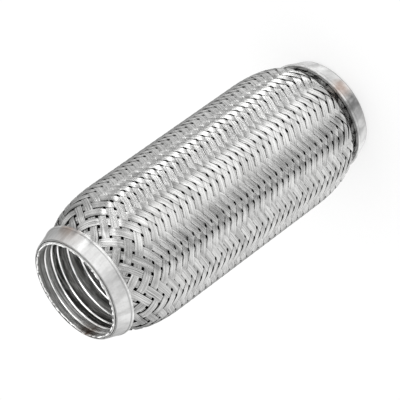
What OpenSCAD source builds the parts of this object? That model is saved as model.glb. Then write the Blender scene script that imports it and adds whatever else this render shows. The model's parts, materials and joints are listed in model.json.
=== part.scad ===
// Exhaust flex pipe: a woven steel sleeve over a bellows, with a strip-wound liner inside
// and a flared sheet collar at each end. The pipe's axis is Z, and it stands on its lower rim.

/* [Pipe] */
// Length of the whole pipe, from rim to rim
pipe_length = 203; // [150:1:320]
// Inner diameter, which takes the exhaust pipe's end
bore_d = 57.3; // [48:0.1:70]
// Gap between layers that lie on each other
seat_gap = 0.1; // [0.08:0.01:0.2]

/* [Liner] */
// Thickness of the steel strip that the liner is wound from
strip_wall = 0.28; // [0.2:0.01:0.36]
// Height of the folded strip, from the bore to its outside
liner_height = 1.2; // [1:0.05:2]
// Length of pipe that each turn of the strip takes
liner_pitch = 5.4; // [4:0.1:8]
// Width of the slot between two turns, seen from the bore
liner_slot = 0.9; // [0.5:0.05:1.5]
// Length of the plain cuff at each end of the liner
cuff_length = 5; // [3:0.5:9]

/* [Bellows] */
// Sheet thickness of the bellows
bellows_wall = 0.3; // [0.2:0.05:0.5]
// Distance from one crest of the bellows to the next
bellows_pitch = 8; // [6:0.1:10]
// Room between the crests and the braid
crest_gap = 0.2; // [0.15:0.05:0.6]

/* [Collars] */
// Length of a collar along the pipe, from the pipe's rim to the back of its flange
collar_length = 11; // [9:0.5:14]
// Sheet thickness of the collars
collar_wall = 0.5; // [0.4:0.05:0.7]
// How much the collar's radius grows from its front edge to its lip
collar_flare = 3.4; // [2.8:0.1:5]
// Rounding of the lip, where the collar turns in
lip_round = 0.8; // [0.8:0.1:2]
// How far the lip's bead stands out of the collar's cone
lip_bead = 0.25; // [0.1:0.05:0.4]
// How far the liner and the bellows stand out of the collar
rim_proud = 0.6; // [0.2:0.1:1.5]
// Open ring between the rim's layers and the collar's front edge
rim_gap = 0.25; // [0.15:0.05:0.5]
// Open ring between the flange and the braid that passes through it
flange_gap = 0.4; // [0.2:0.05:0.8]

/* [Braid] */
// Diameter over the braid's crossings
braid_d = 83; // [78:0.5:100]
// Thickness of the braid where two strands cross
braid_wall = 1.1; // [0.9:0.05:1.6]
// Depth of the hollows between crossings
braid_relief = 0.55; // [0.3:0.05:0.7]
// Strands that wind in each direction
strands = 24; // [16:4:24]
// Distance along the body from one row of crossings to the next
crossing_step = 2.33; // [2.2:0.01:4]
// Distance from the rim to the foot of the braid's shoulder
shoulder_start = 15; // [13:0.5:20]
// Length of the shoulder, over which the braid swells to its full diameter
shoulder_length = 30; // [24:1:40]
// How much the strands slacken where the braid narrows
shoulder_slack = 1.8; // [1:0.1:2.5]
// Rings of open gaps at each shoulder
gap_rings = 2; // [1:1:2]
// Width of an open gap at the braid's face
gap_width = 1.5; // [1:0.1:1.9]

/* [Hidden] */
round_fn = 96;
far = 100;
thin = 0.01;

// Radii of the layers, from the bore outwards
bore_r = bore_d / 2;
liner_outer_r = bore_r + liner_height;
neck_inner_r = liner_outer_r + seat_gap;
neck_outer_r = neck_inner_r + bellows_wall;
collar_front_r = neck_outer_r + rim_gap + collar_wall;
lip_r = collar_front_r + collar_flare;
braid_neck_r = neck_outer_r + seat_gap + braid_wall;
braid_r = braid_d / 2;

// The collar's cone runs from its front edge to the lip, just below the crown of the lip's bead
lip_centre = [lip_r - lip_round, collar_length - lip_round];
front_edge = [collar_front_r, rim_proud];
to_lip = lip_centre - front_edge;
cone_reach = lip_round - lip_bead;
cone_angle = atan2(to_lip.x, to_lip.y) + asin(cone_reach / norm(to_lip));
cone_normal = [cos(cone_angle), -sin(cone_angle)];

// The bead curls back until it sinks just below the cone's face
bead_sink = 4;
bead_turn = cone_angle + acos(cone_reach / lip_round) + bead_sink;
bead_start = [cos(bead_turn), -sin(bead_turn)];

// The braid ends where the cone has just enough room for it
braid_end_rise = (braid_neck_r + seat_gap - collar_front_r + collar_wall / cos(cone_angle)) / tan(cone_angle);
braid_end = rim_proud + braid_end_rise;

// Half of the braid's outline as [radius, height] points, from the middle of the pipe down to its end
shoulder_turn = 3;
shoulder_end = shoulder_start + shoulder_length;
shoulder_rise = braid_r - braid_neck_r;
function shoulder_point(turn) =
    [braid_neck_r + shoulder_rise * cos(turn), shoulder_end - shoulder_length * sin(turn)];
braid_path = concat(
    [[braid_r, pipe_length / 2]],
    [for (turn = [0 : shoulder_turn : 90]) shoulder_point(turn)],
    [[braid_neck_r, braid_end]]);

// Length along that outline at each of its points, and the points found again from a length
braid_run = [for (i = 0, run = 0; i < len(braid_path);
    run = run + norm(braid_path[min(i + 1, len(braid_path) - 1)] - braid_path[i]), i = i + 1) run];
run_radius = [for (i = [0 : len(braid_path) - 1]) [braid_run[i], braid_path[i].x]];
run_height = [for (i = [0 : len(braid_path) - 1]) [braid_run[i], braid_path[i].y]];
braid_half = braid_run[len(braid_run) - 1];
foot_run = braid_run[len(braid_run) - 2];
function path_point(run) = [lookup(run, run_radius), lookup(run, run_height)];

// Outward normal of the outline, from two points a little apart
normal_reach = 0.4;
function path_normal(run) =
    let (along = path_point(min(run + normal_reach, braid_half)) - path_point(max(run - normal_reach, 0)))
    [-along.y, along.x] / norm(along);

// Rows of crossings: the strands turn towards the axis where the braid narrows, so the rows spread
column_angle = 180 / strands;
column_arc = PI / strands;
function row_step(radius) =
    sqrt(pow(crossing_step, 2) + shoulder_slack * pow(column_arc, 2) * (pow(braid_r, 2) - pow(radius, 2)));
function row_runs(runs = [0]) =
    let (last = runs[len(runs) - 1], step = row_step(path_point(last).x))
    last + step > foot_run - step / 2
        ? concat(runs, [foot_run, braid_half])
        : row_runs(concat(runs, [last + step]));
half_rows = row_runs();
last_row = len(half_rows) - 1;

// Point of the braid at a run from the middle, sunk below the outline, on the lower half or mirrored up
function braid_point(run, sunk, upper) =
    let (point = path_point(run) - sunk * path_normal(run))
    [point.x, upper ? pipe_length - point.y : point.y];

// A ring of points round the axis, one for each column of crossings
columns = 2 * strands;
function turned(point, column) =
    [point.x * cos(column * column_angle), point.x * sin(column * column_angle), point.y];

// The outer face dips at every second point, between the crossings
function face_depth(column, row) = (column + row) % 2 == 0 ? 0 : braid_relief;
outer_points = [for (row = [-last_row : last_row], column = [0 : columns - 1])
    turned(braid_point(half_rows[abs(row)], face_depth(column, abs(row)), row > 0), column)];

// The inner face is smooth, with rings only where its outline bends
inner_turn = 15;
inner_half = [for (turn = [0 : inner_turn : 90]) braid_run[1 + turn / shoulder_turn]];
inner_runs = concat(inner_half, [braid_half]);
last_inner = len(inner_runs) - 1;
function inner_ring(run, upper) =
    [for (column = [0 : columns - 1]) turned(braid_point(run, braid_wall, upper), column)];
inner_points = concat(
    [for (i = [last_inner : -1 : 0]) each inner_ring(inner_runs[i], false)],
    [for (i = [0 : last_inner]) each inner_ring(inner_runs[i], true)]);

// Index of a point on either face
outer_rows = 2 * last_row + 1;
inner_rows = 2 * len(inner_runs);
function outer_index(row, column) = row * columns + column % columns;
function inner_index(row, column) = (outer_rows + row) * columns + column % columns;

// Every float passes over two strands, so the visible strands lean one way for two columns, then the other
function leans_left(column) = floor(column / 2) % 2 == 0;
function outer_cell(row, column) =
    let (a = outer_index(row, column), b = outer_index(row, column + 1))
    let (c = outer_index(row + 1, column + 1), d = outer_index(row + 1, column))
    leans_left(column) ? [[a, c, b], [a, d, c]] : [[a, d, b], [b, d, c]];
function inner_cell(row, column) =
    let (a = inner_index(row, column), b = inner_index(row, column + 1))
    let (c = inner_index(row + 1, column + 1), d = inner_index(row + 1, column))
    [[a, b, c], [a, c, d]];
function end_cell(outer_row, inner_row, column) =
    let (a = outer_index(outer_row, column), b = outer_index(outer_row, column + 1))
    let (c = inner_index(inner_row, column + 1), d = inner_index(inner_row, column))
    outer_row == 0 ? [[a, b, c], [a, c, d]] : [[a, c, b], [a, d, c]];
braid_faces = concat(
    [for (row = [0 : outer_rows - 2], column = [0 : columns - 1]) each outer_cell(row, column)],
    [for (row = [0 : inner_rows - 2], column = [0 : columns - 1]) each inner_cell(row, column)],
    [for (column = [0 : columns - 1]) each end_cell(0, 0, column)],
    [for (column = [0 : columns - 1]) each end_cell(outer_rows - 1, inner_rows - 1, column)]);

// Rows whose gaps stand open: the first ones that clear the flange's edge
open_radius = lip_r - collar_wall;
gap_reach = 2 * braid_wall;
gap_taper = 0.35;
first_open = max([for (row = [0 : last_row]) if (path_point(half_rows[row]).x > open_radius) row]);

// Bellows: half circles at every crest and root, joined by straight legs
fold_steps = 8;
fold_r = bellows_pitch / 4;
root_r = (neck_inner_r + neck_outer_r) / 2;
least_leg = 0.4;
least_crest_r = root_r + 2 * fold_r + least_leg;
function crest_r(height) =
    let (from_end = min(height, pipe_length - height) - fold_r - bellows_wall / 2)
    let (turn = asin(min(max((shoulder_end - from_end) / shoulder_length, 0), 1)))
    shoulder_point(turn).x - braid_wall - crest_gap - bellows_wall / 2;
search_step = 0.25;
function first_crest(height) =
    crest_r(height) > least_crest_r ? height : first_crest(height + search_step);
least_first = first_crest(shoulder_start);
crest_count = floor((pipe_length - 2 * least_first) / bellows_pitch) + 1;
crest_start = (pipe_length - (crest_count - 1) * bellows_pitch) / 2;
crest_heights = [for (i = [0 : crest_count - 1]) crest_start + i * bellows_pitch];

// Liner: turns of folded strip between the two cuffs
turn_room = pipe_length - 2 * cuff_length - liner_slot;
turn_count = floor(turn_room / liner_pitch);
turn_pitch = turn_room / turn_count;

// Points of an arc, from one angle to another
function arc(centre, radius, from, to) =
    [for (i = [0 : fold_steps])
        let (angle = from + (to - from) * i / fold_steps)
        centre + radius * [cos(angle), sin(angle)]];

// One face of the bellows' sheet from the lower rim to the upper one, beside the sheet's middle
function bellows_face(beside) = concat(
    [[root_r + beside, 0]],
    arc([root_r + fold_r, crest_heights[0] - 2 * fold_r], fold_r - beside, 180, 90),
    [for (height = crest_heights) each concat(
        arc([crest_r(height) - fold_r, height], fold_r + beside, -90, 90),
        arc([root_r + fold_r, height + 2 * fold_r], fold_r - beside, -90,
            height == crest_heights[crest_count - 1] ? -180 : -270))],
    [[root_r + beside, pipe_length]]);
function reversed(points) = [for (i = [len(points) - 1 : -1 : 0]) points[i]];

module bellows_outline() {
    polygon(concat(bellows_face(bellows_wall / 2), reversed(bellows_face(-bellows_wall / 2))));
}

// Folded strip: lands on the bore, slots between them closed from outside
module liner_outline() {
    translate([bore_r, 0]) square([liner_height, cuff_length]);
    translate([bore_r, pipe_length - cuff_length]) square([liner_height, cuff_length]);
    for (turn = [0 : turn_count])
        translate([0, cuff_length + turn * turn_pitch]) slot_outline();
    for (turn = [0 : turn_count - 1])
        translate([bore_r, cuff_length + turn * turn_pitch + liner_slot])
            square([strip_wall, turn_pitch - liner_slot]);
}

// Outer fold that bridges one slot and hooks over the lands beside it
module slot_outline() {
    hook = liner_slot + 2 * strip_wall;
    translate([liner_outer_r - strip_wall, -strip_wall]) square([strip_wall, hook]);
    translate([bore_r, -strip_wall]) square([liner_height, strip_wall]);
    translate([bore_r, liner_slot]) square([liner_height, strip_wall]);
}

// Conical collar with a round bead at its lip and an inward flange, rim at height 0
module collar_outline() {
    polygon([
        front_edge,
        lip_centre + cone_reach * cone_normal,
        lip_centre + (cone_reach - collar_wall) * cone_normal,
        front_edge - collar_wall * cone_normal]);
    translate(lip_centre)
        intersection() {
            difference() {
                circle(lip_round, $fn = round_fn);
                circle(lip_round - collar_wall, $fn = round_fn);
            }
            polygon([[0, 0], far * bead_start, [far, 0], [far, far], [0, far]]);
        }
    flange_inner_r = braid_neck_r + flange_gap;
    translate([flange_inner_r, collar_length - collar_wall])
        square([lip_centre.x - flange_inner_r, collar_wall]);
}

// One open gap, wider at the braid's face than behind it, on the given row and column
module open_gap(row, column, upper) {
    point = braid_point(half_rows[row], 0, upper);
    normal = path_normal(half_rows[row]);
    tilt = atan2(normal.x, upper ? -normal.y : normal.y);
    rotate([0, 0, column * column_angle])
        translate([point.x, 0, point.y])
            rotate([0, tilt, 0])
                hull() {
                    gap_square(gap_width + gap_taper * gap_reach, gap_reach);
                    gap_square(gap_width - gap_taper * gap_reach, -gap_reach);
                }
}

// Thin square on its corner, at a height along the gap
module gap_square(width, height) {
    translate([0, 0, height])
        rotate([0, 0, 45])
            cube([width, width, thin], center = true);
}

module inlet_collar() {
    color("#c9c8c5")
        translate([0, 0, pipe_length])
            mirror([0, 0, 1])
                rotate_extrude($fn = round_fn)
                    collar_outline();
}

module outlet_collar() {
    color("#c9c8c5")
        rotate_extrude($fn = round_fn)
            collar_outline();
}

module outer_braid() {
    color("#b4b4b2")
        difference() {
            polyhedron(concat(outer_points, inner_points), braid_faces);
            for (ring = [0 : gap_rings - 1], column = [0 : columns - 1], upper = [false, true])
                if ((first_open - ring + column) % 2 == 1)
                    open_gap(first_open - ring, column, upper);
        }
}

module bellows() {
    color("#a8a8a6")
        rotate_extrude($fn = round_fn)
            bellows_outline();
}

module interlock_liner() {
    color("#8d8d8b")
        rotate_extrude($fn = round_fn)
            liner_outline();
}

inlet_collar();
outlet_collar();
outer_braid();
bellows();
interlock_liner();
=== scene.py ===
"""Looks of the exhaust flex pipe: woven sleeve, wound liner and collars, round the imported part."""

import json
import math

import bmesh
import bpy
import numpy as np
from mathutils import Matrix, Vector


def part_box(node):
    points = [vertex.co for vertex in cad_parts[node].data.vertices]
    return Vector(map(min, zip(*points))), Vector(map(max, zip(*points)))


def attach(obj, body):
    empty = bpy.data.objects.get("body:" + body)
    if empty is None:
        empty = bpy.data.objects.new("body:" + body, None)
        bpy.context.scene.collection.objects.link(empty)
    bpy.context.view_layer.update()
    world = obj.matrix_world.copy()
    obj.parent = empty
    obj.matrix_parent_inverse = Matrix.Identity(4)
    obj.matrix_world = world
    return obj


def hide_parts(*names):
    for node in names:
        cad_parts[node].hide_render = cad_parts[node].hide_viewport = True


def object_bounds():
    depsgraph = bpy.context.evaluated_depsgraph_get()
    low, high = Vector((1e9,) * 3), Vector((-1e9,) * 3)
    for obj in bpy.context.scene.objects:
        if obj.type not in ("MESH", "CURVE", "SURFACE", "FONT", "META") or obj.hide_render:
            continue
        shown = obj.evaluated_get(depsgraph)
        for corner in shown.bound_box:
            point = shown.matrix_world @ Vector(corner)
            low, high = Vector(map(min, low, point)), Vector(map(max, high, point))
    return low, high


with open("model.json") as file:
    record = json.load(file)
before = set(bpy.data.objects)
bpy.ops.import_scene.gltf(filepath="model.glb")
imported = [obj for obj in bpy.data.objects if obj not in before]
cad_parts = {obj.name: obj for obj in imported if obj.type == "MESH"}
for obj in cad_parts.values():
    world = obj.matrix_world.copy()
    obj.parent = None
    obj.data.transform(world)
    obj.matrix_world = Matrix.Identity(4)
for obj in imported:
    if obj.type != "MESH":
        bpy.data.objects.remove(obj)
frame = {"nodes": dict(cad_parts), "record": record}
cad_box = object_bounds()
MM = 0.001
FULL_TURN = 2 * math.pi

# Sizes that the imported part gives
pipe_length = cad_box[1].z
braid_low, braid_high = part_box("outer_braid")
collar_low, collar_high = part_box("outlet_collar")
liner_outer_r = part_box("interlock_liner")[1].x
bore_r = frame["record"]["mounts"][0]["dims"]["r_mm"] * MM

# Sizes of the part's source that the frame doesn't give
STRANDS = 24
CROSSING_STEP = 2.33 * MM
SHOULDER_START = 15 * MM
SHOULDER_LENGTH = 30 * MM
SHOULDER_SLACK = 1.8
BRAID_WALL = 1.1 * MM
NECK_R = 31.45 * MM
COLLAR_WALL = 0.5 * MM
COLLAR_FRONT_R = 31.0 * MM
LIP_ROUND = 0.8 * MM
LIP_BEAD = 0.25 * MM
FLANGE_INNER_R = 31.85 * MM


# Meshes from arrays

# Points closer than this are one point
SEAM_GAP = 0.0001 * MM


def close_mesh(mesh):
    """Welds seams and fills open ends."""
    shape = bmesh.new()
    shape.from_mesh(mesh)
    bmesh.ops.remove_doubles(shape, verts=shape.verts, dist=SEAM_GAP)
    bmesh.ops.holes_fill(shape, edges=[edge for edge in shape.edges if edge.is_boundary], sides=0)
    shape.to_mesh(mesh)
    shape.free()


def add_piece(name, points, quads, material, tones, sharp=None):
    """Makes a smooth piece that rides on the part's one body; sharp tells which of its edges stay sharp."""
    mesh = bpy.data.meshes.new(name)
    mesh.vertices.add(len(points))
    mesh.vertices.foreach_set("co", points.astype(np.float32).ravel())
    mesh.loops.add(quads.size)
    mesh.loops.foreach_set("vertex_index", quads.astype(np.int32).ravel())
    mesh.polygons.add(len(quads))
    mesh.polygons.foreach_set("loop_start", np.arange(0, quads.size, 4, dtype=np.int32))
    mesh.polygons.foreach_set("use_smooth", np.ones(len(quads), dtype=bool))
    mesh.update(calc_edges=True)
    mesh.validate()
    tone = mesh.attributes.new("tone", "FLOAT", "POINT")
    tone.data.foreach_set("value", tones.astype(np.float32).ravel())
    if sharp is not None:
        ends = np.empty(2 * len(mesh.edges), dtype=np.int32)
        mesh.edges.foreach_get("vertices", ends)
        mesh.edges.foreach_set("use_edge_sharp", sharp(*ends.reshape(-1, 2).T))
    close_mesh(mesh)
    mesh.materials.append(material)
    piece = bpy.data.objects.new(name, mesh)
    bpy.context.scene.collection.objects.link(piece)
    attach(piece, "root")
    return piece


def grid_quads(rows, columns, wrap):
    """Faces of a grid of points, row by row, whose columns may close on themselves."""
    spans = columns if wrap else columns - 1
    row, column = np.meshgrid(np.arange(rows - 1), np.arange(spans), indexing="ij")
    near = row * columns + column
    side = row * columns + (column + 1) % columns
    return np.stack([near, side, side + columns, near + columns], axis=-1).reshape(-1, 4)


# Materials

class Graph:
    """The nodes of a material or a world, with short ways to add and link them."""

    def __init__(self, tree):
        self.nodes, self.links = tree.nodes, tree.links

    def feed(self, socket, value):
        """Gives an input another node's output, a number, a vector or a colour."""
        if isinstance(value, bpy.types.NodeSocket):
            self.links.new(value, socket)
        else:
            socket.default_value = (*value, 1) if socket.type == "RGBA" else value

    def set(self, node, **settings):
        """Sets a node's properties and inputs by their names."""
        for key, value in settings.items():
            if hasattr(node, key):
                setattr(node, key, value)
            else:
                self.feed(node.inputs[key.replace("_", " ")], value)

    def add(self, kind, *inputs, **settings):
        """Adds a node with settings, and feeds its first inputs in their order."""
        node = self.nodes.new("ShaderNode" + kind)
        self.set(node, **settings)
        for socket, value in zip(node.inputs, inputs):
            self.feed(socket, value)
        return node

    def place(self):
        """Place on the object."""
        return self.add("TexCoord").outputs["Object"]

    def tone(self):
        """Tone that the mesh holds at each of its points."""
        return self.add("Attribute", attribute_name="tone").outputs["Fac"]

    def calc(self, operation, *inputs):
        """Result of an operation on numbers or sockets."""
        return self.add("Math", *inputs, operation=operation).outputs[0]

    def noise(self, scale, detail=4.0):
        """Noise over the object, by one scale or stretched by a scale for each axis."""
        scales = scale if isinstance(scale, tuple) else (scale, scale, scale)
        stretched = self.add("Mapping", self.place(), Scale=scales).outputs["Vector"]
        return self.add("TexNoise", stretched, Scale=1.0, Detail=detail, Roughness=0.6).outputs["Fac"]

    def ramp(self, value, stops):
        """Colour ramp over a value, from (position, colour) stops; a plain number is a grey."""
        node = self.add("ValToRGB", value)
        elements = node.color_ramp.elements
        while len(elements) < len(stops):
            elements.new(0.5)
        for element, (position, colour) in zip(elements, stops):
            element.position = position
            element.color = (*colour, 1) if isinstance(colour, tuple) else (colour, colour, colour, 1)
        return node.outputs["Color"]

    def remap(self, value, low, high, to_low, to_high):
        """Moves a value from one range to another, and holds it there."""
        return self.add("MapRange", value, low, high, to_low, to_high).outputs["Result"]

    def mix(self, factor, first, second):
        """Mixes two colours; each is a socket or a plain colour."""
        node = self.add("Mix", data_type="RGBA")
        for index, value in ((0, factor), (6, first), (7, second)):
            self.feed(node.inputs[index], value)
        return node.outputs[2]

    def bump(self, height, strength, distance):
        """Normal of a surface with small heights."""
        return self.add("Bump", Height=height, Strength=strength, Distance=distance).outputs["Normal"]

    def near(self, point, inner, outer, strength):
        """Value that falls from strength to 0 between two distances from a point, all in millimetres."""
        centre = tuple(value * MM for value in point)
        gap = self.add("VectorMath", self.place(), centre, operation="DISTANCE").outputs["Value"]
        return self.remap(gap, inner * MM, outer * MM, strength, 0.0)

    def lay_patches(self, colour, places, cloud):
        """Lays patches over a colour, broken up by a cloud: stains, and at some places painted shade."""
        broken = self.remap(cloud, 0.3, 0.6, 0.35, 1.0)
        for point, inner, outer, tint, strength in places:
            share = self.calc("MULTIPLY", self.near(point, inner, outer, strength), broken)
            colour = self.mix(share, colour, tint)
        return colour


def new_material(name):
    """Makes a material, and gives it with its graph and its shader."""
    material = bpy.data.materials.new(name)
    material.use_nodes = True
    graph = Graph(material.node_tree)
    return material, graph, graph.nodes["Principled BSDF"]


# Places of stains and of painted shade as the photograph shows them: point and two distances in millimetres,
# colour, strength
# On the upper collar: two brown heat tints
COLLAR_STAINS_AND_SHADE = (((26.4, -20.6, 194.1), 1, 11, (0.38, 0.31, 0.27), 0.75),
                 ((30.1, -16.5, 193.4), 0, 6, (0.20, 0.14, 0.11), 0.9),
                 # Grey patches of painted shade along the upper collar's bead
                 ((25.0, -22.5, 193.6), 0.5, 3.5, (0.22, 0.22, 0.22), 0.8),
                 ((20.7, -26.5, 193.6), 0.5, 3.5, (0.22, 0.22, 0.22), 0.8),
                 ((15.8, -29.7, 193.6), 0.5, 3.5, (0.25, 0.25, 0.25), 0.7),
                 # On the lower collar: a brown heat tint, then grey patches, the first nearly black
                 ((4.2, -32.7, 6.3), 2, 8, (0.33, 0.22, 0.17), 1.0),
                 ((-7.0, -32.2, 5.5), 4, 10, (0.11, 0.11, 0.11), 0.95),
                 ((-17.0, -28.0, 5.5), 5, 15, (0.36, 0.36, 0.36), 0.8),
                 ((20.0, -26.2, 6.0), 5, 14, (0.5, 0.5, 0.495), 0.8))
# Darker patches on the braid's upper shoulder, just below the upper collar
BRAID_DARK_PATCHES = (((1.0, -35.3, 185.5), 2, 11, (0.16, 0.16, 0.155), 0.8),
                ((4.0, -36.0, 180.0), 1, 6, (0.3, 0.3, 0.295), 0.7))
LINER_STAINS = (((-22.6, 18.3, 200.5), 3, 9, (0.11, 0.075, 0.055), 1.0),)
# Colours by tone; the wires' low tones also carry painted shade where strands dip and on their sides and
# undersides
WIRE_SHADES = ((0.0, 0.03), (0.12, (0.36, 0.36, 0.355)), (0.5, (0.58, 0.58, 0.575)),
               (1.0, (0.78, 0.78, 0.77)))
# The collar's tones paint a highlight on the bead, and shade in the groove, at the front corner, on the
# flange and inside
COLLAR_SHADES = ((0.0, 0.1), (0.75, (0.8, 0.8, 0.795)), (1.0, (0.95, 0.95, 0.94)))
# Tone of the liner's polished folds; up to 1 a tone runs from dark to pale, and carries painted shade in the
# slots and painted light and shade on the turns that show
FOLD_TONE = 2.0
# Necks of the bellows: how far they take to come out of the painted shade under the braid, and how deep their
# cut edges are
NECK_FADE = 5 * MM
CUT_DEPTH = 0.5 * MM
# The cut edges are clean from this far on the camera's side of the axis, and sooty from as far on the other
SOOT_REACH = 10 * MM


def wire_material():
    """Drawn steel wire: a tone for every wire, with painted shade where strands dip; dull patches, fine pits
    and dark patches.
    """
    material, graph, shader = new_material("braid_wire")
    dull_and_shade = graph.remap(graph.noise(45), 0.45, 0.75, 0.0, 0.35)
    fine = graph.noise(900, 2.0)
    colour = graph.mix(dull_and_shade, graph.ramp(graph.tone(), WIRE_SHADES), (0.40, 0.395, 0.385))
    colour = graph.lay_patches(colour, BRAID_DARK_PATCHES, graph.noise(500))
    graph.set(shader, Base_Color=colour, Metallic=1.0,
              Roughness=graph.remap(fine, 0.3, 0.7, 0.15, 0.3),
              Normal=graph.bump(fine, 0.1, 0.05 * MM))
    return material


def collar_material():
    """Rolled sheet with streaks round it, cloudy patches, a heat tint by each seam, and tones and patches of
    painted light and shade.
    """
    material, graph, shader = new_material("collar_steel")
    streak = graph.noise((25, 25, 1800), 5.0)
    cloud = graph.noise((160, 160, 50))
    colour = graph.ramp(graph.tone(), COLLAR_SHADES)
    colour = graph.mix(graph.remap(streak, 0.35, 0.7, 0.0, 0.2), colour, (0.6, 0.6, 0.6))
    colour = graph.mix(graph.remap(cloud, 0.42, 0.66, 0.0, 0.75), colour, (0.46, 0.46, 0.455))
    colour = graph.lay_patches(colour, COLLAR_STAINS_AND_SHADE, cloud)
    dents = graph.calc("MULTIPLY_ADD", cloud, 4.0, streak)
    graph.set(shader, Base_Color=colour, Metallic=1.0,
              Roughness=graph.remap(streak, 0.2, 0.8, 0.32, 0.48),
              Normal=graph.bump(dents, 0.2, 0.08 * MM))
    return material


def liner_material():
    """Folded strip inside the pipe: brushed along its turns, dulled in patches, with soot at the rim, painted
    shade in its slots and painted light and shade on the turns that show.
    """
    material, graph, shader = new_material("liner_steel")
    streak = graph.noise((40, 40, 1500))
    patch = graph.noise((80, 80, 420))
    share = graph.remap(graph.tone(), 0.0, FOLD_TONE, 0.0, 1.0)
    land = 1 / FOLD_TONE
    colour = graph.ramp(share, ((0.0, 0.04), (0.1 * land, (0.2, 0.2, 0.195)),
                                (0.5 * land, (0.55, 0.55, 0.54)), (land, (0.95, 0.95, 0.94))))
    unpolished = graph.remap(share, land, 1.0, 1.0, 0.0)
    dark = graph.remap(streak, 0.42, 0.62, 0.0, 0.8)
    pale = graph.remap(patch, 0.5, 0.64, 0.0, 0.7)
    for factor, shade in ((dark, (0.12, 0.12, 0.12)), (pale, (0.95, 0.95, 0.94))):
        colour = graph.mix(graph.calc("MULTIPLY", factor, unpolished), colour, shade)
    colour = graph.lay_patches(colour, LINER_STAINS, graph.noise(300))
    graph.set(shader, Base_Color=colour,
              Roughness=graph.ramp(share, ((0.0, 0.28), (land, 0.45), (1.0, 0.2))),
              Metallic=graph.ramp(share, ((0.3 * land, 1.0), (land, 0.4), (1.0, 1.0))),
              Normal=graph.bump(streak, 0.2, 0.05 * MM))
    return material


def bellows_material():
    """Thin rolled sheet, painted nearly black as shade where the braid covers it, with bright necks and
    partly sooty cut edges.
    """
    material, graph, shader = new_material("bellows_steel")
    cloud = graph.noise(200)
    bright = graph.ramp(cloud, ((0.3, (0.62, 0.62, 0.615)), (0.7, (0.85, 0.85, 0.84))))
    # Nearly black: painted shade under the braid, and soot on the cut edges
    dull_and_shade = graph.ramp(cloud, ((0.3, 0.03), (0.7, (0.07, 0.068, 0.065))))
    place = graph.add("SeparateXYZ", graph.place()).outputs
    away = graph.calc("ABSOLUTE", graph.calc("SUBTRACT", place["Z"], pipe_length / 2))
    neck = pipe_length / 2 - SHOULDER_START
    edge = pipe_length / 2 - CUT_DEPTH
    cut = graph.remap(away, edge - CUT_DEPTH, edge, 0.0, 1.0)
    sooty = graph.remap(place["Y"], -SOOT_REACH, SOOT_REACH, 0.1, 0.8)
    colour = graph.mix(graph.remap(away, neck, neck + NECK_FADE, 0.0, 1.0), dull_and_shade, bright)
    colour = graph.mix(graph.calc("MULTIPLY", cut, sooty), colour, dull_and_shade)
    graph.set(shader, Base_Color=colour, Metallic=1.0, Roughness=graph.remap(cloud, 0.2, 0.8, 0.25, 0.4))
    return material


# Braid: flat strands of wires on the lattice of the part's source

BRAID_SEED = 11
STRANDS_PER_PIECE = 12
SAMPLES_PER_ROW = 4
BRAID_PHASE = 1.57
# A ring round a strand: points on its wires and in the valleys between them, then back along its underside
WIRES = 8
TOP_POINTS = 2 * WIRES + 1
UNDERSIDE = (0.45, 0.0, -0.45)
RING_POINTS = TOP_POINTS + len(UNDERSIDE)
STRAND_WIDTH = 4.21 * MM
STRAND_THICKNESS = 0.48 * MM
WIRE_CROWN = 0.1 * MM
# Share of its height that a strand loses at its sides, and how close to them it does
EDGE_DROP = 0.15
EDGE_POWER = 6
# How far a strand draws in beside a gap, how much of that stays where it has room, and how uneven it is
STRAND_WAIST = 1.25 * MM
LEAST_WAIST = 0.3
WAIST_WAVES = (0.9, 2.3)
WAIST_SWING = 0.2
# Gaps beside a strand: place in columns and size, roundness, and taper along the floats of each lean
GAPS = ((0, 1.0), (-1, 1.0), (1, 0.4), (-2, 0.4))
GAP_ROUND = 0.2
TAPERS = {1: 0.44, -1: 0.58}
# Crossings after which the weave repeats: over two and under two
WEAVE_REPEAT = 4
WEAVE_HEIGHT = 0.25 * MM
WEAVE_SHARPNESS = 2.2
# Where the strands have room: how soon they are loose, how much they spread, and how much higher they stand
ROOM_GAIN = 2
STRAND_SPREAD = 0.2
ROOM_RISE = 0.5
# Chance between strands and wires: widths, and the sizes and speeds of slow waves along them
WIDTH_RANGE = (0.98, 1.01)
WAVE_RANGE = (0.8, 1.2)
STRAND_DRIFT = 0.04 * MM
DRIFT_RANGE = (0.1, 0.3)
WIRE_RIPPLE = 0.02 * MM
RIPPLE_RANGE = (0.2, 0.6)
# Tones of the wires, and the darker tone of a strand's sides and underside, which is painted shade between
# the strands
WIRE_TONES = (0.15, 0.9)
LEAST_TONE = 0.12
TONE_SPREAD = 0.06
SIDE_SHADE_TONE = 0.25
# Painted shade: how much darker a strand is where it dips under others, and how close to the lowest place
DIP_SHADE = 0.45
DIP_POWER = 1.5
# Streaks on loose strands: how dark they are at each end, and how their waves differ from the ripples
LOWER_STREAKS = 0.4
UPPER_STREAKS = 0.95
STREAK_SPEED = 3
STREAK_PHASE = 2
# Degrees of the shoulder's arc, and the reach and foot of the bend that leads it into the neck
NECK_TURN = 68
NECK_REACH = 1.8 * MM
NECK_FOOT = 12 * MM
BEND_POINTS = 16

column_angle = math.pi / STRANDS


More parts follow.
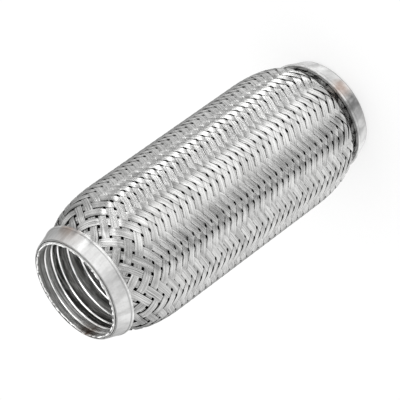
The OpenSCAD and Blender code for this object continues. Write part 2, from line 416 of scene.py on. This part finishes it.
def braid_outline():
    """Radius and height along half of the braid, from the middle of the pipe down to its end."""
    turns = np.radians(np.arange(NECK_TURN + 1))
    arc_r = NECK_R + (braid_high.x - NECK_R) * np.cos(turns)
    arc_z = SHOULDER_START + SHOULDER_LENGTH - SHOULDER_LENGTH * np.sin(turns)
    slope = np.array([arc_r[-1] - arc_r[-2], arc_z[-1] - arc_z[-2]])
    start, end = np.array([arc_r[-1], arc_z[-1]]), np.array([NECK_R, NECK_FOOT])
    leave, arrive = start + NECK_REACH * slope / np.hypot(*slope), end + np.array([0, NECK_REACH])
    t = np.linspace(0, 1, BEND_POINTS)[1:, None]
    bend = ((1 - t) ** 3 * start + 3 * t * (1 - t) ** 2 * leave
            + 3 * t ** 2 * (1 - t) * arrive + t ** 3 * end)
    return (np.concatenate([[braid_high.x], arc_r, bend[:, 0], [NECK_R]]),
            np.concatenate([[pipe_length / 2], arc_z, bend[:, 1], [braid_low.z]]))


path_r, path_z = braid_outline()
path_run = np.concatenate([[0], np.cumsum(np.hypot(np.diff(path_r), np.diff(path_z)))])
normal_r = -np.gradient(path_z, path_run)
normal_z = np.gradient(path_r, path_run)


def lattice_rows():
    """Runs from the middle to each row of crossings; the rows spread where the braid narrows."""
    rows = [0.0]
    while rows[-1] < path_run[-1]:
        radius = np.interp(rows[-1], path_run, path_r)
        spread = SHOULDER_SLACK * column_angle ** 2 * (braid_high.x ** 2 - radius ** 2)
        rows.append(rows[-1] + math.sqrt(CROSSING_STEP ** 2 + spread))
    return np.array(rows)


half_rows = lattice_rows()
row_numbers = np.arange(1 - len(half_rows), len(half_rows))
row_runs = np.concatenate([-half_rows[:0:-1], half_rows])
last_row = np.interp(path_run[-1], half_rows, np.arange(len(half_rows)))


def run_of(row):
    """Run from the middle at a row number, on a smooth curve through the rows."""
    start = np.clip(np.floor(row).astype(int) + len(half_rows) - 1, 1, len(row_runs) - 3)
    t = row - row_numbers[start]
    before, here, after, later = (row_runs[start + i] for i in (-1, 0, 1, 2))
    return here + 0.5 * t * (after - before + t * (2 * before - 5 * here + 4 * after - later
                                                   + t * (3 * (here - after) + later - before)))


def braid_point(column, row, height):
    """Point over the lattice, at a height above the middle of the braid's wall."""
    run = run_of(row)
    far = np.abs(run)
    lift = height - BRAID_WALL / 2
    radius = np.interp(far, path_run, path_r) + lift * np.interp(far, path_run, normal_r)
    low = np.interp(far, path_run, path_z) + lift * np.interp(far, path_run, normal_z)
    z = np.where(run > 0, pipe_length - low, low)
    angle = (column + BRAID_PHASE) * column_angle
    return np.stack([radius * np.cos(angle), radius * np.sin(angle), z], axis=-1)


def weave(crossing):
    """Square wave with round edges: up over two crossings, down under two."""
    wave = np.sin(FULL_TURN / WEAVE_REPEAT * (crossing + 0.5))
    return np.tanh(WEAVE_SHARPNESS * wave) / math.tanh(WEAVE_SHARPNESS)


def gap_share(column, lean):
    """How far the gap beside a strand is open: wide dots on two columns of four, tapering along floats."""
    share = 0
    for centre, size in GAPS:
        past = lean * (column + 0.5) - 0.5 - centre
        off = (past + WEAVE_REPEAT / 2) % WEAVE_REPEAT - WEAVE_REPEAT / 2
        ahead = TAPERS[lean] if centre == 0 else GAP_ROUND
        share = share + size * np.exp(-(off / np.where(off > 0, ahead, GAP_ROUND)) ** 2)
    return share


def strand_points(index, lean, rng):
    """Rings of points along one strand, each along the strands that cross it, with a tone for each point."""
    ends = int(last_row * SAMPLES_PER_ROW)
    row = np.arange(-ends, ends + 1)[:, None] / SAMPLES_PER_ROW
    crossing = 2 * index + lean * row

    # Room between neighbours, which grows where the braid narrows
    arc = np.interp(np.abs(run_of(row)), path_run, path_r) * column_angle
    step = run_of(row + 0.5) - run_of(row - 0.5)
    pitch = 2 * arc * step / np.hypot(arc, step)
    room = pitch / pitch[len(pitch) // 2] - 1
    loose = np.clip(ROOM_GAIN * room, 0, 1)

    # Sides, drawn in beside the gaps
    waist = STRAND_WAIST * np.maximum(1 - loose, LEAST_WAIST)
    for wave in WAIST_WAVES:
        swing = np.sin(rng.uniform(*WAVE_RANGE) * wave * row + rng.uniform(0, FULL_TURN))
        waist = waist * (1 + WAIST_SWING * swing)
    width = STRAND_WIDTH * (rng.uniform(*WIDTH_RANGE) + STRAND_SPREAD * room)
    drift = STRAND_DRIFT * np.sin(rng.uniform(*DRIFT_RANGE) * row + rng.uniform(0, FULL_TURN))
    across = np.concatenate([np.linspace(-0.5, 0.5, TOP_POINTS), UNDERSIDE])
    beside = crossing + np.sign(across) / 2
    side = (across * (width - waist * gap_share(beside, lean)) + drift) / pitch

    # Heights: a crown on every wire, and the weave that carries the whole strand up and down
    crown = np.arange(TOP_POINTS) % 2 * WIRE_CROWN
    edge = 1 - EDGE_DROP * np.abs(np.linspace(-1, 1, TOP_POINTS)) ** EDGE_POWER
    speed, phase = rng.uniform(*RIPPLE_RANGE, TOP_POINTS), rng.uniform(0, FULL_TURN, TOP_POINTS)
    top = (STRAND_THICKNESS / 2 - WIRE_CROWN + crown) * edge + WIRE_RIPPLE * np.sin(speed * row + phase)
    under = np.full((len(row), len(UNDERSIDE)), -STRAND_THICKNESS / 2)
    over = lean * weave(crossing)
    height = np.concatenate([top, under], axis=1) + WEAVE_HEIGHT * (over + ROOM_RISE * loose * (over + 1))

    # Tones: one for every wire, with painted shade where the strand dips and on its sides, and streaks where
    # it has room
    wires = np.repeat(rng.uniform(*WIRE_TONES, WIRES + 1), 2)[:TOP_POINTS]
    wires = np.clip(wires + rng.uniform(-TONE_SPREAD, TONE_SPREAD), LEAST_TONE, 1)
    dip = np.clip(0.5 - over / 2, 0, 1) ** DIP_POWER
    tones = np.concatenate([wires, [SIDE_SHADE_TONE] * len(UNDERSIDE)]) * (1 - DIP_SHADE * dip)
    streak = np.sin(STREAK_SPEED * speed * row + STREAK_PHASE * phase).clip(0, 1)
    tones[:, :TOP_POINTS] *= 1 - np.where(row > 0, UPPER_STREAKS, LOWER_STREAKS) * loose * streak
    return braid_point(crossing + side, row - lean * side, height), tones


def valley_edge(start, end):
    """True for the edges that run along a valley between two wires, or along a strand's side."""
    place = start % RING_POINTS
    return (place == end % RING_POINTS) & (place % 2 == 0) & (place < TOP_POINTS)


def braid_pieces(material):
    """Adds the braid in four pieces, two for each lean."""
    rng = np.random.default_rng(BRAID_SEED)
    for lean, way in ((1, "rising"), (-1, "falling")):
        for first in range(0, STRANDS, STRANDS_PER_PIECE):
            points, tones, quads, count = [], [], [], 0
            for index in range(first, first + STRANDS_PER_PIECE):
                strand, tone = strand_points(index, lean, rng)
                quads.append(count + grid_quads(*strand.shape[:2], wrap=True))
                points.append(strand.reshape(-1, 3))
                tones.append(tone.ravel())
                count += strand[..., 0].size
            name = f"braid_{way}_{first // STRANDS_PER_PIECE + 1}"
            piece = add_piece(name, np.concatenate(points), np.concatenate(quads), material,
                              np.concatenate(tones), valley_edge)
            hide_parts("outer_braid")


# Collars

SEGMENTS = 256
# Points up the cone: share of its length, how deep the groove before the bead is in millimetres, and tone;
# the low tones paint shade near the front and in the groove
CONE_POINTS = np.array(((0.04, 0, 0.2), (0.1, 0, 0.75), (0.2, 0, 0.75), (0.35, 0, 0.75), (0.5, 0, 0.75),
                        (0.65, 0, 0.75), (0.78, 0, 0.75), (0.86, 0.02, 0.75), (0.9, 0.08, 0.75),
                        (0.93, 0.14, 0.4), (0.96, 0.15, 0.4), (0.985, 0.1, 0.4)))
LIP_POINTS = 16
LIP_INNER_POINTS = 10
CONE_INNER_SHARES = np.linspace(1, 0.04, 6)
# Places across the sheet on the front edge, from its inner corner to its outer one, and their tones; the dark
# outer corner is painted shade
EDGE_SHARES = (0.88, 0.5, 0.12)
EDGE_TONES = (0.9, 0.9, 0.0)
# Tones of the bead by point, of the flange and of the inside: a painted highlight on the bead's crown, and
# painted shade to either side of it, on the flange and inside
BEAD_TONES = ((0, 3, 8, 15), (0.3, 1.0, 0.9, 0.5))
FLANGE_SHADE_TONE = 0.5
INNER_SHADE_TONE = 0.3
FLANGE_CORNER = 0.1 * MM
# Dents: size in millimetres, count round the collar, and phase
DENTS = ((0.05, 3, 1.1), (0.035, 7, 0.3), (0.02, 13, 2.0))


def arc_points(centre, radius, start, end, steps):
    """Points along an arc between two angles in degrees."""
    angles = np.radians(np.linspace(start, end, steps))
    return np.stack([centre[0] + radius * np.cos(angles), centre[1] + radius * np.sin(angles)], axis=1)


def collar_profile():
    """Closed outline of a collar as radius and height, with the rim at height 0, and its points' tones."""
    lip = np.array([collar_high.x - LIP_ROUND, collar_high.z - LIP_ROUND])
    front = np.array([COLLAR_FRONT_R, collar_low.z])
    reach = lip - front
    level = LIP_ROUND - LIP_BEAD
    tilt = math.atan2(reach[0], reach[1]) + math.asin(level / np.hypot(*reach))
    normal = np.array([math.cos(tilt), -math.sin(tilt)])
    curl = math.acos(level / LIP_ROUND)
    lip_out = arc_points(lip, LIP_ROUND, -math.degrees(tilt + curl), 90, LIP_POINTS)
    shares, sinks, cone_tones = CONE_POINTS.T
    cone_out = front + shares[:, None] * (lip_out[0] - front) - sinks[:, None] * MM * normal
    flange = np.array([[FLANGE_INNER_R + FLANGE_CORNER, collar_high.z],
                       [FLANGE_INNER_R, collar_high.z - FLANGE_CORNER],
                       [FLANGE_INNER_R, collar_high.z - COLLAR_WALL]])
    lip_in = arc_points(lip, LIP_ROUND - COLLAR_WALL, 90, -math.degrees(tilt), LIP_INNER_POINTS)
    inner_front = front - COLLAR_WALL * normal
    cone_in = inner_front + CONE_INNER_SHARES[:, None] * (lip + (level - COLLAR_WALL) * normal - inner_front)
    edge = front - np.array(EDGE_SHARES)[:, None] * COLLAR_WALL * normal
    bead_tones = np.interp(np.arange(LIP_POINTS), *BEAD_TONES)
    tones = np.concatenate([cone_tones, bead_tones, np.full(len(flange), FLANGE_SHADE_TONE),
                            np.full(len(lip_in) + len(cone_in), INNER_SHADE_TONE), EDGE_TONES])
    return np.concatenate([cone_out, lip_out, flange, lip_in, cone_in, edge]), tones


def lathe(profile, upper):
    """Turns an outline round the axis, with slight dents."""
    angle = np.arange(SEGMENTS)[:, None] * FULL_TURN / SEGMENTS
    radius = profile[:, 0] + sum(size * MM * np.sin(count * angle + phase) for size, count, phase in DENTS)
    z = np.tile(pipe_length - profile[:, 1] if upper else profile[:, 1], (SEGMENTS, 1))
    points = np.stack([np.cos(angle) * radius, np.sin(angle) * radius, z], axis=-1)
    first = np.arange(len(profile))
    last = (SEGMENTS - 1) * len(profile) + first
    closing = np.stack([last, np.roll(last, -1), np.roll(first, -1), first], axis=1)
    quads = np.concatenate([grid_quads(SEGMENTS, len(profile), wrap=True), closing])
    return points.reshape(-1, 3), quads if upper else quads[:, ::-1]


def collar_pieces(material):
    """Adds the two collars."""
    profile, tones = collar_profile()
    for node, upper in (("inlet_collar", True), ("outlet_collar", False)):
        points, quads = lathe(profile, upper)
        piece = add_piece(f"{node}_sheet", points, quads, material, np.tile(tones, SEGMENTS))
        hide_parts(node)


# Liner: a strip wound in a helix, with a round fold on every turn's upper edge

LINER_SEED = 5
LINER_COLUMNS = 180
LINER_TURNS = 36
LINER_CUFF = 1.0 * MM
LINER_SEAM = math.radians(-32)
# Share of the first and the last turn over which the strip comes out of the cuff
LINER_FADE = 0.12
# Tilt of the turns, and the distance from the pipe's ends over which it comes in
LINER_TILT = 0.35 * MM
TILT_FADE = 8 * MM
# The turns that show below the upper rim, from the rim down: length, and tone at the lower and upper edge,
# which paint each turn's light and shade
SHOWN_LENGTHS = np.array((5.0, 4.8, 4.6, 7.6, 6.8)) * MM
SHOWN_LIGHT_AND_SHADE = ((0.8, 0.8), (0.03, 0.04), (1.0, 0.0), (0.05, 0.8), (1.0, 0.0))
# Where the tones hold, as a share of a turn: the side of the bore that shows from above
SHOWN_PART = 0.34
# The hidden turns: how uneven they are, and their palest tone
HIDDEN_RANGE = (0.85, 1.15)
HIDDEN_TONE = 0.8
# How soon a tone changes above the lower edge of a turn
TONE_POWER = 1.4
# Rows of points across a turn: rise from its lower edge, share of its length, and drop from its upper edge
LOW_RISES = np.array((0, 0.30, 0.32, 0.45))[:, None] * MM
LAND_SHARES = np.array((0.3, 0.6))[:, None]
FOLD_DROPS = np.array((1.0, 0.88, 0.72, 0.45, 0.2, 0.1))[:, None] * MM
LAND_DEPTHS = np.array((0.85, 0.85, 0.12, 0, 0.02, 0.02))[:, None] * MM
FOLD_DEPTHS = np.array((0, 0.04, 0.15, 0.37, 0.57, 0.7))[:, None] * MM
# Rows in the slot at each turn's lower edge, which take black painted shade
SLOT_ROWS = 2
FIRST_FOLD_ROW = len(LAND_DEPTHS) + 1
# How the folds swell along the strip: mean size, then each wave's size, half waves in a turn, and phase
FOLD_SIZE = 0.95
FOLD_WAVES = ((0.12, 4.1, 1.0), (0.1, 9.7, 0.0))
# Layers of strip at the rim, in millimetres: start and end outside the bore, and how far they stand out
LAYERS = ((0.0, 0.8, 0.25), (0.92, 1.2, -0.1))
# Rows of points over a layer's cut edge: share of its thickness, and drop from its top in millimetres
RIM_ROUND = ((0.0, 0.18), (0.12, 0.07), (0.5, 0.0), (0.88, 0.07), (1.0, 0.18))
RIM_ROWS = len(RIM_ROUND)
# Between the layers: rows of points, and their drop in millimetres
CLEFT_ROWS = 2
CLEFT_DROP = 0.6
# Heights of the cut edges from the pipe's ends, and of the rows beside them
UPPER_CUT = 0.15 * MM
LOWER_CUT = 0.9 * MM
CUFF_DROP = 0.75 * MM
WALL_DROP = 3 * MM
# Unevenness of the cut edges, in millimetres: waves with their counts round the rim, notches, and one nick
RIM_WAVES = ((0.12, 3), (0.12, 8), (0.12, 19), (0.1, 31))
RIM_NOTCH = 0.1
NICK_DEPTH = 0.9
NICK_ANGLE = math.radians(-44)
NICK_WIDTH = math.radians(2.0)
# Tones of the rim's flecks, and the shares of its inner and outer layer up to which the first two go
RIM_TONES = np.array((0.0, 0.5, FOLD_TONE))
INNER_SHARES = (0.1, 0.32)
OUTER_SHARES = (0.5, 0.85)
CUFF_TONE = 0.55


def round_grid(radius, z, angle):
    """Points at radii, heights and angles round the axis."""
    heights = np.broadcast_to(z, radius.shape)
    return np.stack([radius * np.cos(angle), radius * np.sin(angle), heights], axis=-1)


def round_row(radius, z, angle):
    """Row of points round the axis at one radius."""
    return round_grid(np.full(angle.shape, radius), z, angle)


def strip_edge(wound, levels, angle):
    """Height of the strip's edge after a number of turns."""
    level = np.interp(wound, np.arange(len(levels)), levels)
    from_end = np.minimum(level, pipe_length - level)
    return level - LINER_TILT * np.cos(angle) * np.clip(from_end / TILT_FADE, 0, 1) ** 2


def liner_helix(part, angle, rng):
    """Grid of the strip's points with their tones, and heights of the rows that lead to its two cuffs."""
    hidden = rng.uniform(*HIDDEN_RANGE, LINER_TURNS + 1 - len(SHOWN_LENGTHS))
    hidden = hidden * (pipe_length - 2 * LINER_CUFF - SHOWN_LENGTHS.sum()) / hidden.sum()
    levels = LINER_CUFF + np.concatenate([[0], np.cumsum(np.concatenate([hidden, SHOWN_LENGTHS[::-1]]))])
    wound = np.arange(LINER_TURNS)[:, None, None] + part
    low, high = (strip_edge(wound + edge, levels, angle) for edge in (0, 1))
    z = np.concatenate([low + LOW_RISES, low + LAND_SHARES * (high - low), high - FOLD_DROPS], axis=1)

    # Depths behind the bore, which fade out at the strip's two ends
    swell = FOLD_SIZE + sum(size * np.sin(count * math.pi * wound + phase)
                            for size, count, phase in FOLD_WAVES)
    land_depth = np.broadcast_to(LAND_DEPTHS, (LINER_TURNS, len(LAND_DEPTHS), len(part)))
    depth = np.concatenate([land_depth, FOLD_DEPTHS * swell], axis=1)
    fade = np.ones(z.shape)
    fade[0] = np.clip(part / LINER_FADE, 0, 1)
    fade[-1] = np.clip((1 - part) / LINER_FADE, 0, 1)
    radius = bore_r + depth * fade * fade * (3 - 2 * fade)

    # Tones from edge to edge: painted light and shade on the turns that show, black painted shade in the
    # slots, and polished folds
    hidden_tones = rng.uniform(0, HIDDEN_TONE, (LINER_TURNS - len(SHOWN_LIGHT_AND_SHADE), 2))
    edge_tones = np.concatenate([hidden_tones, SHOWN_LIGHT_AND_SHADE[::-1]])
    places = np.arange(LINER_TURNS) + SHOWN_PART
    low_tone, high_tone = (np.interp(wound, places, tone) for tone in edge_tones.T)
    rise = (z - low) / (high - low)
    tone = high_tone + (low_tone - high_tone) * (1 - rise).clip(0, 1) ** TONE_POWER
    tone[:, FIRST_FOLD_ROW:] = FOLD_TONE
    tone[:, :SLOT_ROWS] = 0.0

    # Rows that start at each end of the grid and meet the points of its own end at the seam
    upper_edge, lower_edge = high[-1, 0], low[0, 0]
    above = upper_edge + (1 - part) * (np.append(z[-1, :, -1], upper_edge[-1])[:, None] - upper_edge[0])
    below = lower_edge + part * (z[0, :, 0][:, None] - lower_edge[-1])
    return round_grid(radius, z, angle).reshape(-1, len(part), 3), tone, above, below


def rim_waves(angle, nick, rng):
    """Uneven cut of each layer, with one nick of a depth in millimetres."""
    beside = np.abs((angle - NICK_ANGLE + math.pi) % FULL_TURN - math.pi)
    waves = []
    for _ in LAYERS:
        wave = sum(size * np.sin(count * angle + rng.uniform(0, FULL_TURN)) for size, count in RIM_WAVES)
        notches = rng.normal(0, RIM_NOTCH, len(angle))
        wave = wave + notches + np.roll(notches, 1)
        wave[-1] = wave[0]
        waves.append((wave - nick * np.exp(-(beside / NICK_WIDTH) ** 2)) * MM)
    return waves


def rim_rows(waves, end, up, angle):
    """Rows of points over the cut edges of the strip's layers at one end, from the bore to the outside."""
    rows = []
    for place, (start, stop, lift) in enumerate(LAYERS):
        inner, outer = bore_r + start * MM, bore_r + stop * MM
        top = end + up * (waves[place] + lift * MM)
        rows += [(inner + share * (outer - inner), top - up * drop * MM) for share, drop in RIM_ROUND]
        if place + 1 < len(LAYERS):
            beyond = bore_r + LAYERS[place + 1][0] * MM
            cleft = np.linspace(outer, beyond, CLEFT_ROWS)
            rows += [(radius, top - up * CLEFT_DROP * MM) for radius in cleft]
    return [round_row(radius, z, angle) for radius, z in rows]


def liner_shell(helix, above, below, angle, rng):
    """Rows from the helix's upper end over the rim, down the outside and over the lower rim, with tones."""
    upper_rim = rim_rows(rim_waves(angle, NICK_DEPTH, rng), pipe_length - UPPER_CUT, 1, angle)
    lower_rim = rim_rows(rim_waves(angle, 0.0, rng), LOWER_CUT, -1, angle)
    rows = [helix[-1]] + [round_row(bore_r, level, angle) for level in (*above, pipe_length - CUFF_DROP)]
    upper_start = len(rows)
    rows += upper_rim
    rows += [round_row(liner_outer_r, level, angle) for level in (pipe_length - WALL_DROP, WALL_DROP)]
    lower_start = len(rows)
    rows += lower_rim[::-1] + [round_row(bore_r, level, angle) for level in below] + [helix[0]]
    shell = np.array(rows)
    tones = np.full(shell.shape[:2], CUFF_TONE)
    next_layer = RIM_ROWS + CLEFT_ROWS
    for start, shares in ((upper_start, INNER_SHARES), (upper_start + next_layer, OUTER_SHARES),
                          (lower_start, OUTER_SHARES), (lower_start + next_layer, INNER_SHARES)):
        tones[start:start + RIM_ROWS] = RIM_TONES[np.digitize(rng.random(len(angle)), shares)]
    return shell, tones


def liner_piece(material):
    """Adds the liner."""
    rng = np.random.default_rng(LINER_SEED)
    part = np.arange(LINER_COLUMNS + 1) / LINER_COLUMNS
    angle = LINER_SEAM + FULL_TURN * part
    helix, helix_tones, above, below = liner_helix(part, angle, rng)
    shell, shell_tones = liner_shell(helix, above, below, angle, rng)
    points = np.concatenate([helix.reshape(-1, 3), shell.reshape(-1, 3)])
    tones = np.concatenate([helix_tones.ravel(), shell_tones.ravel()])
    quads = np.concatenate([grid_quads(*helix.shape[:2], wrap=False),
                            helix[..., 0].size + grid_quads(*shell.shape[:2], wrap=False)])[:, ::-1]
    piece = add_piece("liner_strip", points, quads, material, tones)
    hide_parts("interlock_liner")


# Stage

FLOOR_REACH = 6.0
# Share of the white paper's brightness that keeps even under the object's shadow
FLOOR_GLOW = 0.7
BACKDROP_R = 5.5
BACKDROP_FOOT = -0.01
BACKDROP_SIDES = 64
# Key lamp: a square box that looks at the middle of the pipe; azimuth 0 is the camera's side, and 90 is +X
KEY_TARGET = Vector((0, 0, 0.1))
KEY_AZIMUTH = math.radians(37)
KEY_ELEVATION = math.radians(60)
KEY_DISTANCE = 1.8
KEY_SIZE = 1.6
KEY_POWER = 8


def add_paper(name, points, faces, material):
    """Makes a sheet of paper for the stage."""
    mesh = bpy.data.meshes.new(name)
    mesh.from_pydata(points, [], faces)
    mesh.materials.append(material)
    paper = bpy.data.objects.new(name, mesh)
    bpy.context.scene.collection.objects.link(paper)
    return paper


def add_floor():
    """White paper that keeps the object's shadow; metal reflects the surround and not the floor."""
    material, graph, shader = new_material("floor_paper")
    shade = graph.ramp(graph.noise(3, 2.0), ((0.3, 0.93), (0.7, 0.95)))
    graph.set(shader, Base_Color=shade, Roughness=0.9, Specular_IOR_Level=0.0)
    rays = graph.add("LightPath").outputs
    seen = rays["Is Camera Ray"]
    for kind in ("Is Glossy Ray", "Is Transmission Ray"):
        seen = graph.calc("MAXIMUM", seen, rays[kind])
    glow = graph.add("Emission", Strength=1.0).outputs["Emission"]
    share = graph.remap(seen, 0.0, 1.0, 0.0, FLOOR_GLOW)
    blend = graph.add("MixShader", share, shader.outputs["BSDF"], glow).outputs["Shader"]
    graph.set(graph.nodes["Material Output"], Surface=blend)
    corners = [(x * FLOOR_REACH, y * FLOOR_REACH, 0) for x, y in ((-1, -1), (1, -1), (1, 1), (-1, 1))]
    floor = add_paper("floor", corners, [(0, 1, 2, 3)], material)
    floor.visible_glossy = False


def add_backdrop():
    """White paper all round the floor, which only the camera sees."""
    material, graph, _ = new_material("backdrop_paper")
    glow = graph.add("Emission", Strength=1.0).outputs["Emission"]
    graph.set(graph.nodes["Material Output"], Surface=glow)
    turn = np.arange(BACKDROP_SIDES) * FULL_TURN / BACKDROP_SIDES
    ring = BACKDROP_R * np.stack([np.cos(turn), np.sin(turn)], axis=1)
    points = [(x, y, z) for z in (BACKDROP_FOOT, BACKDROP_R) for x, y in ring]
    backdrop = add_paper("backdrop", points, grid_quads(2, BACKDROP_SIDES, wrap=True).tolist(), material)
    for ray in ("diffuse", "glossy", "transmission", "shadow"):
        setattr(backdrop, f"visible_{ray}", False)


def add_key_lamp():
    flat, rise = math.cos(KEY_ELEVATION), math.sin(KEY_ELEVATION)
    away = Vector((flat * math.sin(KEY_AZIMUTH), -flat * math.cos(KEY_AZIMUTH), rise))
    lamp = bpy.data.lights.new("key_box", "AREA")
    lamp.shape = "SQUARE"
    lamp.size = KEY_SIZE
    lamp.energy = KEY_POWER
    holder = bpy.data.objects.new("key_box", lamp)
    holder.location = KEY_TARGET + KEY_DISTANCE * away
    holder.rotation_euler = (-away).to_track_quat("-Z", "Y").to_euler()
    bpy.context.scene.collection.objects.link(holder)


# Brightness of the studio's surround by azimuth in degrees, below and above: 0 is the camera's side, 90 is +X
SURROUND = ((-180, 0.4), (-144, 1.0), (-114, 1.3), (-90, 0.8), (-62, 1.4), (-50, 0.8), (-38, 0.15),
            (-28, 0.3), (-18, 1.15), (-5, 1.4), (14, 1.25), (26, 2.3), (38, 1.0), (56, 0.5), (70, 0.65),
            (75, 1.9), (79, 3.7), (84, 4.0), (88, 1.6), (92, 0.5), (105, 0.55), (120, 1.1), (140, 0.65),
            (180, 0.4))
SURROUND_HIGH = ((-180, 1.4), (-140, 1.0), (-90, 0.8), (-62, 1.3), (-36, 0.35), (-10, 1.0), (28, 1.0),
                 (56, 0.6), (78, 1.2), (105, 0.6), (140, 1.0), (180, 1.4))
SURROUND_TOP = 4.5
# The zones draw together towards the camera's side as they rise; azimuths hold at this depth below level
SURROUND_LEAN = 0.7
SURROUND_LEVEL = 0.523
# Heights of a ray between which the upper zones, the white overhead and the white underneath come in
UPPER_ZONES = (0.15, 0.5)
OVERHEAD = (0.75, 0.95)
UNDERNEATH = (-0.75, -0.95)
UNDERNEATH_SHARE = 0.5


def set_world():
    """Soft surround: light and dark zones round the pipe, plain white overhead and underneath."""
    world = bpy.data.worlds.new("studio")
    bpy.context.scene.world = world
    world.use_nodes = True
    graph = Graph(world.node_tree)
    ray = graph.add("SeparateXYZ", graph.add("TexCoord").outputs["Generated"]).outputs
    azimuth = graph.calc("ARCTAN2", ray["X"], graph.calc("MULTIPLY", ray["Y"], -1))
    lean = graph.calc("MULTIPLY_ADD", ray["Z"], SURROUND_LEAN, 1 + SURROUND_LEAN * SURROUND_LEVEL)
    turn = graph.remap(graph.calc("MULTIPLY", azimuth, lean), -math.pi, math.pi, 0.0, 1.0)
    low, high = (graph.ramp(turn, [((angle + 180) / 360, level / SURROUND_TOP) for angle, level in zones])
                 for zones in (SURROUND, SURROUND_HIGH))
    white = (1 / SURROUND_TOP,) * 3
    colour = graph.mix(graph.remap(ray["Z"], *UPPER_ZONES, 0.0, 1.0), low, high)
    colour = graph.mix(graph.remap(ray["Z"], *OVERHEAD, 0.0, 1.0), colour, white)
    colour = graph.mix(graph.remap(ray["Z"], *UNDERNEATH, 0.0, UNDERNEATH_SHARE), colour, white)
    graph.set(graph.nodes["Background"], Color=colour, Strength=SURROUND_TOP)


# Camera, fitted to the photograph's two rims and the body's sides
CAMERA_PLACE = Vector((0, -1.13024, 0.79996))
CAMERA_TARGET = Vector((0, 0.00199, 0.10475))
CAMERA_ROLL = math.radians(125.92)
CAMERA_LENS = 215.15
CAMERA_SENSOR = 36
CAMERA_CLIP = (0.05, 50)


def add_camera():
    data = bpy.data.cameras.new("camera")
    data.lens = CAMERA_LENS
    data.sensor_width = CAMERA_SENSOR
    data.clip_start, data.clip_end = CAMERA_CLIP
    holder = bpy.data.objects.new("camera", data)
    straight = (CAMERA_TARGET - CAMERA_PLACE).to_track_quat("-Z", "Y").to_matrix().to_4x4()
    rolled = straight @ Matrix.Rotation(-CAMERA_ROLL, 4, "Z")
    holder.matrix_world = Matrix.Translation(CAMERA_PLACE) @ rolled
    bpy.context.scene.collection.objects.link(holder)
    bpy.context.scene.camera = holder


braid_pieces(wire_material())
collar_pieces(collar_material())
liner_piece(liner_material())
frame["nodes"]["bellows"].data.materials.clear()
frame["nodes"]["bellows"].data.materials.append(bellows_material())
add_floor()
add_backdrop()
add_key_lamp()
set_world()
add_camera()
bpy.context.scene.view_settings.view_transform = "Standard"
